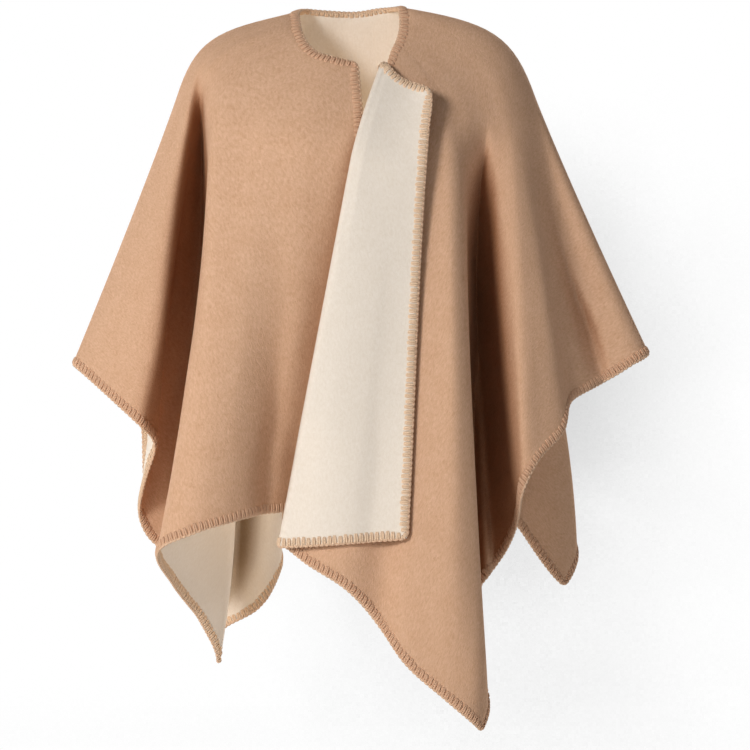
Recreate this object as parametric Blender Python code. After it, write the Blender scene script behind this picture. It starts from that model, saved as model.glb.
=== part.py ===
"""Open-front wool poncho hanging as if worn: one square of cloth with a neck opening and front slit."""
import math

import bmesh
import bpy
import numpy as np
from mathutils import Vector
from mathutils.bvhtree import BVHTree

# Lengths in millimetres. +X is the wearer's left, -Y the front, z = 0 at the shoulder neck points.
MM = 0.001
NECK_HALF_WIDTH = 72.0      # neck opening in the flat cut
NECK_HALF_LENGTH = 75.0
NECK_CENTRE_V = -35.0
WALL = 3.0                  # thickness of the double-faced cloth
SEAM_GAP = 0.3              # clear gap between neighbouring stretches
ROLL_RADIUS = 7.5           # middle radius of the turned-back front edge
REVERS_LIFT = 4.0           # how much further its free edge stands off the left front
REVERS_SAG = 60.0           # how far its top edge dips: 0.15 of this a third of the way across
HANDLE = (0.30, 0.17)       # shoulder curve's handle over its chord: chest, and added at the shoulder
TENSION = (0.62, 0.24)      # how square the shoulder curve is: over the chest, and added at the shoulder
NECK_ROWS = 5                # mesh rows from the neck to the yoke
HANG_ROWS = 9               # mesh rows from the yoke to the hem
CLOTH_COLUMNS = 140
ROLL_COLUMNS = 6
REVERS_COLUMNS = 8
FOLD_BLEND = 14.0           # mm of hem over which neighbouring fall lines are blended
YOKE_BLEND = 70.0           # the same where they leave the yoke, so folds fade on the shoulders
EASE = 1.3                  # how slowly folds open below the yoke

# Neck rim: name, angle in the flat neck opening from its front, x, y, z.
RIM = (
    ("slit corner", 0, 5, -84, -80),
    ("front", 22, -23, -81, -73),
    ("front curve", 45, -48, -68, -64),
    ("right side front", 66, -65, -48, -44),
    ("right side", 90, -73, -22, -20),
    ("right shoulder", 118, -75, 3, -2),
    ("right back", 142, -63, 30, 6),
    ("back", 180, -1, 50, 4),
    ("left back", 212, 41, 36, 8),
    ("left shoulder", 235, 63, 4, 6),
    ("left side", 258, 66, -22, -19),
    ("left side front", 276, 62, -42, -42),
    ("left curve", 291, 54, -58, -61),
    ("fold top", 304.4, 45, -72, -89),
)

# Yoke oval where the cloth leaves the shoulders: name, turn, neck angle, x, y, z.
YOKE = (
    ("slit edge", 0, 0, 14, -126, -197),
    ("right chest", 25, 16, -54, -132, -198),
    ("right breast", 45, 34, -110, -118, -194),
    ("right front shoulder", 58, 56, -151, -97, -185),
    ("right fold crest", 66, 68, -180, -82, -171),
    ("right fold hollow", 74, 84, -203, -46, -152),
    ("right arm front", 82, 101, -218, -42, -137),
    ("right shoulder ridge", 90, 118, -237, 0, -117),
    ("right arm back", 104, 135, -215, 45, -130),
    ("right back shoulder", 122, 150, -173, 84, -154),
    ("right back", 150, 166, -88, 106, -170),
    ("middle back", 180, 180, -1, 112, -165),
    ("left back", 210, 196, 90, 106, -170),
    ("left back shoulder", 236, 212, 172, 84, -151),
    ("left arm back", 252, 224, 220, 45, -130),
    ("left shoulder ridge", 265, 236, 245, 0, -115),
    ("left arm front", 280, 253, 208, -64, -157),
    ("left front hollow", 291, 268, 177, -76, -181),
    ("left breast", 309, 284, 123, -120, -201),
    ("left chest", 330, 297, 65, -134, -208),
    ("fold", 347, 304.4, 10, -140, -211),
)

# One row per fold of the hem: name, flat cut u, v, turn at the yoke, hem x, y, z, bulge x, y.
HEM = (
    ("right slit hem", 0, -680, 0, 26, -92, -661, 0, 0),
    ("right front flat", -110, -680, 13, -68, -104, -665, 0, 0),
    ("right soft valley", -180, -680, 27, -117, -160, -668, 0, 2),
    ("right front ridge", -255, -680, 48, -162, -188, -678, 0, -14),
    ("right front turn", -305, -680, 59, -211, -196, -693, 2, -14),
    ("right front edge fold", -355, -680, 67, -250, -168, -715, 8, -10),
    ("right return", -440, -680, 69, -238, -92, -759, 16, 8),
    ("right return low", -545, -680, 70.5, -207, -25, -812, 28, 34),
    ("right front corner", -680, -680, 72, -181, 14, -880, 30, 44),
    ("right valley back", -680, -600, 73.3, -198, 42, -822, 24, 46),
    ("right under fold", -680, -500, 74.8, -238, 58, -747, 14, 44),
    ("right under edge", -680, -425, 76.5, -269, 54, -723, 4, 36),
    ("right side out", -680, -370, 78.2, -292, 38, -677, -4, 26),
    ("right side in", -680, -300, 79.8, -277, -22, -621, 0, 0),
    ("right side turn", -680, -235, 81.5, -263, -60, -579, 0, -8),
    ("right arm edge", -680, -150, 83.5, -295, -62, -542, 0, -10),
    ("right arm low", -680, -70, 85.8, -340, -38, -503, 0, -8),
    ("right arm near", -680, -22, 88, -370, -16, -478, 0, -2),
    ("right arm tip", -680, 0, 90, -379, 2, -472, 0, 0),
    ("right arm near back", -680, 24, 92, -373, 20, -480, 0, 2),
    ("right arm behind", -680, 80, 97, -341, 58, -505, 0, 10),
    ("right back cascade", -680, 190, 102, -294, 118, -558, 0, 14),
    ("right back edge", -680, 310, 107, -292, 124, -634, 0, 6),
    ("right back low", -680, 500, 113, -239, 120, -769, 0, 2),
    ("right back corner", -680, 680, 122, -195, 128, -852, 0, 0),
    ("right back ridge", -560, 680, 130, -129, 150, -812, 6, 8),
    ("right back fold", -480, 680, 136, -104, 202, -763, 8, 4),
    ("right back fold behind", -400, 680, 142, -118, 256, -715, 0, 6),
    ("right back crest", -320, 680, 148, -85, 288, -676, 0, 10),
    ("right back flank", -230, 680, 157, -50, 214, -645, 0, 0),
    ("right back valley", -150, 680, 166, -29, 150, -628, 0, -12),
    ("middle back ridge", -10, 680, 180, 23, 232, -624, 0, 14),
    ("middle back left", 120, 680, 193, 69, 264, -631, 0, 16),
    ("left back valley", 260, 680, 206, 108, 168, -644, 0, -10),
    ("left back rise", 400, 680, 219, 167, 228, -670, 0, 10),
    ("left back ridge", 520, 680, 230, 263, 246, -682, 8, 12),
    ("left back fold", 615, 680, 240, 313, 160, -734, 24, 6),
    ("left back corner", 680, 680, 244.5, 294, 114, -783, 14, 4),
    ("left back edge", 680, 560, 247.5, 226, 82, -694, 0, 2),
    ("left back in", 680, 450, 250.5, 209, 52, -650, -4, 0),
    ("left cascade", 680, 340, 253.5, 254, 58, -557, 0, -6),
    ("left arm behind", 680, 190, 258, 337, 74, -491, 0, -4),
    ("left arm near back", 680, 88, 262.5, 394, 26, -467, 0, 2),
    ("left arm tip", 680, 60, 265, 401, 2, -458, 0, 0),
    ("left arm near", 680, 36, 267, 390, -14, -464, 0, -2),
    ("left arm low", 680, -20, 270.5, 338, -16, -497, 0, 12),
    ("left arm edge", 680, -85, 274.5, 286, -58, -526, 0, -6),
    ("left side out", 680, -130, 277, 282, -80, -556, 0, -12),
    ("left side low", 680, -200, 279.5, 244, -104, -597, 0, -14),
    ("left second ridge", 680, -270, 282, 222, -94, -644, 0, -10),
    ("left side in", 680, -330, 286, 218, -62, -686, -8, 6),
    ("left valley edge", 680, -400, 290, 198, -20, -736, -12, 46),
    ("left valley", 680, -460, 293, 169, -2, -772, -6, 62),
    ("left valley return", 680, -545, 298, 151, -54, -826, -6, 50),
    ("left front low", 680, -620, 301.5, 170, -112, -894, -2, 14),
    ("left front tuck", 680, -655, 303, 177, -136, -921, -2, 4),
    ("left front corner", 680, -680, 304, 167, -166, -945, -2, 0),
    ("left front ridge", 590, -680, 309, 126, -198, -906, 2, -14),
    ("left front soft", 480, -680, 317, 68, -190, -856, 0, -4),
    ("left front soft valley", 390, -680, 325, 33, -168, -806, 0, 0),
    ("left front swell", 290, -680, 334, -10, -182, -759, 0, -4),
    ("left front inner", 215, -680, 341, -55, -178, -733, 0, -4),
    ("fold foot", 157, -680, 347, -84, -166, -711, 0, 0),
)

# Folds pressed in by hand: name, side (-1 front, 1 back), z, x, spread to the right and left of the
# wearer, and depth towards the back (below 0 is towards the front).
PRESSED = (
    ("right armhole", -1, -80, -204, 9, 7, 0),
    ("right armhole", -1, -109, -203, 10, 7, 16),
    ("right armhole", -1, -150, -203, 11, 8, 36),
    ("right armhole", -1, -190, -204, 14, 9, 50),
    ("right armhole", -1, -270, -207, 20, 12, 58),
    ("right armhole", -1, -340, -211, 22, 14, 58),
    ("right armhole", -1, -431, -222, 20, 15, 54),
    ("right armhole", -1, -536, -250, 18, 11, 48),
    ("right armhole", -1, -588, -262, 16, 10, 36),
    ("right armhole", -1, -641, -272, 14, 10, 20),
    ("right armhole", -1, -690, -276, 14, 10, 0),
    ("right breast", -1, -420, -100, 16, 14, 0),
    ("right breast", -1, -536, -99, 16, 13, 7),
    ("right breast", -1, -588, -109, 14, 14, 11),
    ("right breast", -1, -641, -114, 13, 14, 14),
    ("right breast", -1, -690, -117, 12, 14, 11),
    ("right front flank", -1, -240, -100, 40, 25, 0),
    ("right front flank", -1, -330, -100, 46, 25, 6),
    ("right front flank", -1, -431, -98, 50, 25, 12),
    ("right front flank", -1, -536, -102, 50, 34, 19),
    ("right front flank", -1, -600, -106, 50, 60, 22),
    ("right front flank", -1, -700, -112, 50, 70, 22),
    ("left armhole", -1, -160, 176, 18, 8, 0),
    ("left armhole", -1, -191, 174, 17, 7, 9),
    ("left armhole", -1, -231, 170, 15, 7, 17),
    ("left armhole", -1, -324, 166, 13, 7, 18),
    ("left armhole", -1, -377, 165, 13, 7, 16),
    ("left armhole", -1, -483, 167, 13, 7, 10),
    ("left armhole", -1, -560, 172, 13, 9, 0),
    ("left breast ridge", -1, -160, 126, 16, 14, 0),
    ("left breast ridge", -1, -240, 139, 20, 9, -8),
    ("left breast ridge", -1, -326, 147, 22, 8, -15),
    ("left breast ridge", -1, -431, 161, 28, 7, -32),
    ("left breast ridge", -1, -536, 168, 30, 7, -42),
    ("left breast ridge", -1, -641, 173, 30, 7, -44),
    ("left breast ridge", -1, -746, 178, 30, 8, -42),
    ("left breast ridge", -1, -850, 176, 28, 9, -36),
    ("left breast ridge", -1, -930, 168, 22, 12, -12),
    ("left breast ridge", -1, -960, 164, 20, 14, 0),
    ("left arm front", -1, -190, 190, 9, 20, 0),
    ("left arm front", -1, -270, 193, 9, 20, -9),
    ("left arm front", -1, -326, 196, 9, 22, -14),
    ("left arm front", -1, -431, 203, 9, 22, -17),
    ("left arm front", -1, -536, 212, 10, 22, -19),
    ("left arm front", -1, -600, 216, 10, 22, -13),
    ("left arm front", -1, -660, 218, 10, 20, 0),
    ("left arm swell", -1, -240, 262, 24, 8, 0),
    ("left arm swell", -1, -340, 276, 28, 8, -6),
    ("left arm swell", -1, -431, 294, 30, 8, -9),
    ("left arm swell", -1, -520, 318, 24, 8, 0),
    ("left arm", -1, -190, 244, 12, 12, 0),
    ("left arm", -1, -247, 258, 12, 10, 6),
    ("left arm", -1, -321, 278, 13, 9, 12),
    ("left arm", -1, -375, 296, 13, 9, 17),
    ("left arm", -1, -429, 319, 13, 8, 22),
    ("left arm", -1, -483, 334, 13, 9, 15),
    ("left arm", -1, -520, 345, 14, 10, 4),
    ("right back pocket", 1, -380, -168, 20, 34, 0),
    ("right back pocket", 1, -500, -172, 18, 32, 24),
    ("right back pocket", 1, -640, -176, 16, 30, 58),
    ("right back pocket", 1, -740, -180, 16, 28, 58),
    ("right back pocket", 1, -800, -184, 16, 24, 30),
    ("right back pocket", 1, -870, -190, 16, 20, 0),
    ("right back flank", 1, -300, -150, 34, 60, 0),
    ("right back flank", 1, -450, -155, 30, 62, 24),
    ("right back flank", 1, -640, -160, 26, 62, 56),
    ("right back flank", 1, -760, -164, 24, 56, 48),
    ("right back flank", 1, -860, -176, 22, 34, 0),
)
PRESS_DEPTH = (60.0, 110.0)     # folds stop pressing behind this y, and the length they fade over

# Free edge of the revers over the left front: name, share of its length, x, z.
REVERS_EDGE = (
    ("top corner", 0.0, 101, -120),
    ("below the corner", 0.025, 102, -134),
    ("upper edge", 0.084, 98, -167),
    ("hem corner", 1.0, 70, -698),
)

# Stretch of cloth: name, first and last fall line, sRGB colour.
STRETCHES = (
    ("right_front", "right slit hem", "right arm tip", "#C79B74"),
    ("back", "right arm tip", "left arm tip", "#C29670"),
    ("left_front", "left arm tip", "fold foot", "#C79B74"),
)
REVERS_COLOUR = "#E6D8BF"


def numbers(rows):
    return np.array([row[1:] for row in rows], float)


def spline(keys, values, at):
    """Cubic through the rows that never runs past a row's own value."""
    step = np.diff(keys)[:, None]
    slope = np.diff(values, axis=0) / step
    before, after = slope[:-1], slope[1:]
    same = before * after > 0
    safe = np.where(same, before, 1.0), np.where(same, after, 1.0)
    near, far = step[:-1], step[1:]
    mean = 3 * (near + far) / ((2 * far + near) / safe[0] + (far + 2 * near) / safe[1])
    tangent = np.vstack([slope[:1], np.where(same, mean, 0.0), slope[-1:]])
    i = np.clip(np.searchsorted(keys, at, side="right") - 1, 0, len(keys) - 2)
    h = step[i]
    t = ((at - keys[i]) / h[:, 0])[:, None]
    return ((2 * t**3 - 3 * t**2 + 1) * values[i] + (t**3 - 2 * t**2 + t) * h * tangent[i]
            + (3 * t**2 - 2 * t**3) * values[i + 1] + (t**3 - t**2) * h * tangent[i + 1])


def unit(vectors):
    return vectors / np.linalg.norm(vectors, axis=-1, keepdims=True)


def neck_cut(angle):
    turn = np.radians(angle)
    return np.stack([-NECK_HALF_WIDTH * np.sin(turn),
                     NECK_CENTRE_V - NECK_HALF_LENGTH * np.cos(turn)], axis=-1)


def blend(values, spacing, width):
    """Soften a channel along the hem with a short bell-shaped window."""
    reach = max(1, int(round(2 * width / spacing)))
    window = np.exp(-0.5 * (np.arange(-reach, reach + 1) * spacing / width) ** 2)
    window /= window.sum()
    ends = (2 * values[:1] - values[reach:0:-1], values, 2 * values[-1:] - values[-2:-reach - 2:-1])
    padded = np.concatenate(ends)
    return np.stack([np.convolve(padded[:, c], window, "valid") for c in range(values.shape[1])], axis=1)


def fall_lines(stations):
    """Rim, yoke, hem and bulge of the fall line at each station along the hem, with its flat cut."""
    rim, yoke, hem = numbers(RIM), numbers(YOKE), numbers(HEM)
    cut, turn, foot, bulge = hem[:, :2], hem[:, 2:3], hem[:, 3:6], hem[:, 6:8]
    keys = np.concatenate([[0], np.cumsum(np.linalg.norm(np.diff(foot, axis=0), axis=1))])
    yoke_at = lambda angle: spline(yoke[:, 0], yoke[:, 1:], angle)
    rows = yoke_at(turn[:, 0])
    flat_rim = neck_cut(rows[:, 0])
    flat_reach = np.linalg.norm(cut - flat_rim, axis=1)
    reach = np.linalg.norm(foot - rows[:, 1:], axis=1)
    channels = np.hstack([turn, unit(foot - rows[:, 1:]), (reach / flat_reach)[:, None], bulge])
    dense = np.linspace(keys[0], keys[-1], 2400)
    soft = blend(spline(keys, channels, dense), dense[1] - dense[0], FOLD_BLEND)
    soft = np.hstack([soft, blend(soft[:, 1:4], dense[1] - dense[0], YOKE_BLEND)])
    lines = np.stack([np.interp(stations, dense, channel) for channel in soft.T], axis=1)
    on_yoke = yoke_at(lines[:, 0])
    edge = np.stack([np.interp(stations, keys, cut[:, c]) for c in (0, 1)], axis=1)
    flat_top = neck_cut(on_yoke[:, 0])
    length = np.linalg.norm(edge - flat_top, axis=1) * lines[:, 4]
    return {"rim": spline(rim[:, 0], rim[:, 1:], on_yoke[:, 0]), "yoke": on_yoke[:, 1:],
            "turn": lines[:, :1], "down": unit(lines[:, 1:4]), "leave": unit(lines[:, 7:10]),
            "length": length[:, None], "bulge": np.stack([lines[:, 5], lines[:, 6], 0 * length], axis=1)}


def hang(lines, neck_rows, hang_rows):
    """Grid of points down every fall line: over the shoulder to the yoke, then to the hem."""
    start, yoke, leave, length = (lines[key] for key in ("rim", "yoke", "leave", "length"))
    reach = HANDLE[0] + HANDLE[1] * np.sin(np.radians(lines["turn"])) ** 2
    corner = yoke - leave * np.linalg.norm(yoke - start, axis=1)[:, None] * reach
    tension = TENSION[0] + TENSION[1] * np.sin(np.radians(lines["turn"])) ** 6
    a, b = start + (corner - start) * tension, yoke + (corner - yoke) * tension
    points = []
    for t in np.linspace(0, 1, neck_rows + 1)[:-1]:
        points.append((1 - t)**3 * start + 3 * (1 - t)**2 * t * a + 3 * (1 - t) * t**2 * b + t**3 * yoke)
    crest = (EASE / (1 + EASE)) ** EASE / (1 + EASE)
    for t in np.linspace(0, 1, hang_rows + 1):
        fold = (lines["down"] - leave) * length + (1 - t) / crest * lines["bulge"]
        points.append(yoke + leave * length * t + fold * t**EASE)
    return np.stack(points, axis=1)


def press_folds(grid, turn):
    """Push the cloth back where a fold is pressed in and forward at a ridge."""
    moved = grid.copy()
    for name, side in dict.fromkeys(row[:2] for row in PRESSED):
        rows = np.array([row[2:] for row in PRESSED if row[0] == name], float)
        rows = rows[np.argsort(rows[:, 0])]
        z = np.clip(grid[:, :, 2].ravel(), rows[0, 0], rows[-1, 0])
        x, right, left, depth = spline(rows[:, 0], rows[:, 1:], z).T.reshape(4, *grid.shape[:2])
        off = grid[:, :, 0] - x
        bell = np.exp(-(off / np.where(off < 0, right, left)) ** 2)
        if side < 0:
            bell *= np.clip((PRESS_DEPTH[0] - grid[:, :, 1]) / PRESS_DEPTH[1], 0, 1)
        moved[:, :, 1] += (np.cos(np.radians(turn)) * side < 0.05) * depth * bell
    return moved


def facing(grid):
    """Outward normals of a grid whose columns run from the right slit edge round the back."""
    normals = unit(np.cross(np.gradient(grid, axis=0), np.gradient(grid, axis=1)))
    normals[:, 0] = normals[:, 1]       # fall lines and neck edge nearly run together at the revers
    return normals


def revers(grid):
    """Columns that roll forward round the fold line and lie back over the left front."""
    fold = grid[-1]
    along = unit(np.gradient(fold, axis=0))
    side = (grid[-1] - grid[-3])[NECK_ROWS:].mean(axis=0)
    side = unit(side - (along @ side)[:, None] * along)
    front = np.cross(side, along)
    front *= -np.sign(front[:, 1:2])
    wide, tall = grid.shape[:2]
    faces = [(c * tall + r, (c + 1) * tall + r, (c + 1) * tall + r + 1, c * tall + r + 1)
             for c in range(wide // 2, wide - 1) for r in range(tall - 1)]
    panel = BVHTree.FromPolygons([Vector(p) for p in grid.reshape(-1, 3)], faces)

    def clear_of_panel(places):
        """How far forward each x, z must be to clear the left front behind it by the roll."""
        depths = []
        for x, z in places:
            hit, slope = panel.ray_cast(Vector((x, -900, z)), Vector((0, 1, 0)))[:2]
            if hit is None:
                hit, slope = panel.find_nearest(Vector((x, -150, z)))[:2]
            depths.append(hit.y - 2 * ROLL_RADIUS / max(abs(slope.y), 0.5))
        return np.array(depths)

    inner = fold + 2 * ROLL_RADIUS * front
    inner[:, 1] = np.minimum(inner[:, 1], clear_of_panel(inner[:, (0, 2)]))
    columns = [fold + (inner - fold) * (1 - math.cos(turn)) / 2 + side * ROLL_RADIUS * math.sin(turn)
               for turn in np.linspace(0, math.pi, ROLL_COLUMNS + 1)[1:]]
    walk = np.concatenate([[0], np.cumsum(np.linalg.norm(np.diff(fold, axis=0), axis=1))])
    edge = numbers(REVERS_EDGE)
    free = spline(edge[:, 0], edge[:, 1:], walk / walk[-1])
    edge_y = clear_of_panel(free) - REVERS_LIFT
    for across in np.linspace(0, 1, REVERS_COLUMNS + 1)[1:]:
        places = (1 - across) * inner[:, (0, 2)] + across * free
        places[:, 1] -= REVERS_SAG * across * (1 - across) ** 2 * np.exp(-walk / 40)
        flat = (1 - across) * inner[:, 1] + across * edge_y
        clear = clear_of_panel(places)
        lap = np.minimum(flat, clear) - 2 * np.exp(-np.abs(flat - clear) / 6)
        columns.append(np.stack([places[:, 0], lap, places[:, 1]], axis=1))
    return np.stack(columns)


def stations(hem, count):
    """Fall lines spread evenly along the hem, with one exactly at every cut corner and seam."""
    foot = numbers(hem)[:, 3:6]
    keys = np.concatenate([[0], np.cumsum(np.linalg.norm(np.diff(foot, axis=0), axis=1))])
    names = [row[0] for row in hem]
    stops = [keys[i] for i, name in enumerate(names) if i in (0, len(hem) - 1)
             or "corner" in name or "tip" in name]
    marks, index = [stops[0]], {names[0]: 0}
    for first, last in zip(stops, stops[1:]):
        share = max(2, round(count * (last - first) / keys[-1]))
        marks.extend(np.linspace(first, last, share + 1)[1:])
        index[names[int(np.argmin(abs(keys - last)))]] = len(marks) - 1
    return np.array(marks), index


def shell(name, grid, normals, seams, colour):
    """Closed cloth wall either side of a grid; seams tells which end columns draw back for a gap."""
    grid = grid.copy()
    for at, step in ((0, 1), (-1, -1)):
        if seams[at]:
            grid[at] += unit(grid[at + step] - grid[at]) * SEAM_GAP / 2
    wide, tall = grid.shape[:2]
    mesh = bpy.data.meshes.new(name)
    build = bmesh.new()
    outer, inner = [[[build.verts.new(p * MM) for p in column] for column in grid + normals * half]
                    for half in (WALL / 2, -WALL / 2)]
    for c in range(wide - 1):
        for r in range(tall - 1):
            build.faces.new((outer[c][r], outer[c][r + 1], outer[c + 1][r + 1], outer[c + 1][r]))
            build.faces.new((inner[c][r], inner[c + 1][r], inner[c + 1][r + 1], inner[c][r + 1]))
    for c in range(wide - 1):
        build.faces.new((outer[c][0], outer[c + 1][0], inner[c + 1][0], inner[c][0]))
        build.faces.new((inner[c][-1], inner[c + 1][-1], outer[c + 1][-1], outer[c][-1]))
    for r in range(tall - 1):
        build.faces.new((inner[0][r], inner[0][r + 1], outer[0][r + 1], outer[0][r]))
        build.faces.new((outer[-1][r], outer[-1][r + 1], inner[-1][r + 1], inner[-1][r]))
    bmesh.ops.triangulate(build, faces=build.faces[:])
    build.normal_update()
    if build.calc_volume(signed=True) < 0:
        bmesh.ops.reverse_faces(build, faces=build.faces[:])
    build.to_mesh(mesh)
    build.free()
    part = bpy.data.objects.new(name, mesh)
    bpy.context.scene.collection.objects.link(part)
    part.data.materials.append(cloth_material(name, colour))
    return part


def cloth_material(name, colour):
    material = bpy.data.materials.new(name + "_wool")
    material.use_nodes = True
    shader = material.node_tree.nodes["Principled BSDF"]
    linear = [((int(colour[i:i + 2], 16) / 255 + 0.055) / 1.055) ** 2.4 for i in (1, 3, 5)]
    shader.inputs["Base Color"].default_value = (*linear, 1)
    shader.inputs["Roughness"].default_value = 0.95
    return material


def main():
    for old in list(bpy.data.objects):
        bpy.data.objects.remove(old, do_unlink=True)
    marks, index = stations(HEM, CLOTH_COLUMNS)
    lines = fall_lines(marks)
    body = press_folds(hang(lines, NECK_ROWS, HANG_ROWS), lines["turn"])
    cloth = np.concatenate([body, revers(body)])
    normals = facing(cloth)
    last = len(body) - 1
    for name, first_line, last_line, colour in STRETCHES:
        a, b = index[first_line], index[last_line]
        shell(name, cloth[a:b + 1], normals[a:b + 1], {0: a > 0, -1: True}, colour)
    shell("left_revers", cloth[last:], normals[last:], {0: True, -1: False}, REVERS_COLOUR)


main()
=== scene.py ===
"""Looks of an open-front wool poncho: double-faced cloth, blanket stitch and a pale studio."""

import math

import bpy
import numpy as np
from bpy.props import FloatProperty, FloatVectorProperty, IntProperty, PointerProperty
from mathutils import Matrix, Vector
from mathutils.bvhtree import BVHTree


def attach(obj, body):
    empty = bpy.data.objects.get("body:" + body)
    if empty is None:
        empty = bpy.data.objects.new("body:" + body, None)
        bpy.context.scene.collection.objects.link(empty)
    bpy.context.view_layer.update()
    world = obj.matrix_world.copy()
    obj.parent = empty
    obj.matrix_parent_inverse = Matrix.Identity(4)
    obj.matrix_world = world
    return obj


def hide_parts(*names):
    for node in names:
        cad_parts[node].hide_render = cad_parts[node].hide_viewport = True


bl_info = {
    "name": "Blanket Poncho",
    "version": (1, 0),
    "blender": (4, 5, 0),
    "location": "View3D > Sidebar > Poncho",
    "description": "Builds the cloth, blanket stitch and studio of an open-front wool poncho",
    "category": "Add Mesh",
}

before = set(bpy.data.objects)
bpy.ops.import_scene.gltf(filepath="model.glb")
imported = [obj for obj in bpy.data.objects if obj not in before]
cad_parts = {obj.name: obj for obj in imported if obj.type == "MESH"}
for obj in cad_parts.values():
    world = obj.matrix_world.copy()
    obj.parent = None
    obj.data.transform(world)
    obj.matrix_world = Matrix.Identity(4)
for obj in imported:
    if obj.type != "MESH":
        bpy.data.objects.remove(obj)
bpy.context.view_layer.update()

# ---------------------------------------------------------------- cut and drape, in millimetres
# +X is the wearer's left, -Y the front, z = 0 at the shoulder neck points.
MM = 0.001
NECK_HALF_WIDTH = 72.0
NECK_HALF_LENGTH = 75.0
NECK_CENTRE_V = -35.0       # middle of the neck hole on the flat cut, in front of the square's middle
ROLL_RADIUS = 7.5           # of the roll where the left front turns back
REVERS_LIFT = 4.0           # how far the free edge stands off, past the roll's own thickness
REVERS_SAG = 60.0           # dip of the revers' top between its edges: 0.15 of this at its lowest
SAG_FADE = 40.0             # length that the dip fades over, down from the neck
REVERS_STAND = (13.0, 120.0)    # how much further it stands off at the top, and the fading length
REVERS_SETTLE = (13.0, 200.0)   # how much closer it lies lower down, and the length that takes
REVERS_TOUCH = (2.0, 6.0)   # extra room where the revers comes to the panel, and its fading length
SIGHT_FROM = -900.0         # y in front of the poncho, where the rays that find the panel start
NEAR_PANEL = -150.0         # y that the nearest point is sought from where such a ray misses
FLATTEST = 0.5              # limit of the panel's slope when the revers is held clear of it
HANDLE = (0.30, 0.17)       # shoulder curve's handle: at front and back, and added at the sides
TENSION = (0.62, 0.24)      # how square that curve is: over the chest, and added at the shoulder
FOLD_BLEND = 14.0           # length along the hem that the folds are softened over
YOKE_BLEND = 70.0           # the same for the way that the cloth leaves the yoke
SOFTEN_STEPS = 2400         # steps along the hem for both
EASE = 1.3                  # how late on its way down the cloth turns towards its hem
ROLL_COLUMNS = 14           # mesh columns round the roll
FLAP_COLUMNS = 24           # mesh columns across the revers
EDGE_BULGE = 0.45           # rounding of the cloth's edge, in wall thicknesses

# Neck edge: name, degrees round the wearer from the slit, then x, y and z.
RIM = (
    ("slit corner", 0, 5, -84, -80),
    ("front", 22, -23, -81, -73),
    ("front curve", 45, -48, -68, -64),
    ("right side front", 66, -65, -48, -44),
    ("right side", 90, -73, -22, -20),
    ("right shoulder", 118, -75, 3, -2),
    ("right back", 142, -63, 30, 6),
    ("back", 180, -1, 50, 4),
    ("left back", 212, 41, 36, 8),
    ("left shoulder", 235, 63, 4, 6),
    ("left side", 258, 66, -22, -19),
    ("left side front", 276, 62, -42, -42),
    ("left curve", 291, 54, -58, -61),
    ("fold top", 304.4, 45, -72, -89),
)

# Where the cloth leaves the shoulders: name, degrees, degrees round the neck cut, then x, y and z.
YOKE = (
    ("slit edge", 0, 0, 14, -126, -197),
    ("right chest", 25, 16, -54, -132, -198),
    ("right breast", 45, 34, -110, -118, -194),
    ("right front shoulder", 58, 56, -151, -97, -185),
    ("right fold crest", 66, 68, -180, -82, -171),
    ("right fold hollow", 74, 84, -203, -46, -152),
    ("right arm front", 82, 101, -218, -42, -137),
    ("right shoulder ridge", 90, 118, -237, 0, -117),
    ("right arm back", 104, 135, -215, 45, -130),
    ("right back shoulder", 122, 150, -173, 84, -154),
    ("right back", 150, 166, -88, 106, -170),
    ("middle back", 180, 180, -1, 112, -165),
    ("left back", 210, 196, 90, 106, -170),
    ("left back shoulder", 236, 212, 172, 84, -151),
    ("left arm back", 252, 224, 220, 45, -130),
    ("left shoulder ridge", 265, 236, 245, 0, -115),
    ("left arm front", 280, 253, 208, -64, -157),
    ("left front hollow", 291, 268, 177, -76, -181),
    ("left breast", 309, 284, 123, -120, -201),
    ("left chest", 330, 297, 65, -134, -208),
    ("fold", 347, 304.4, 10, -140, -211),
)

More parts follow.
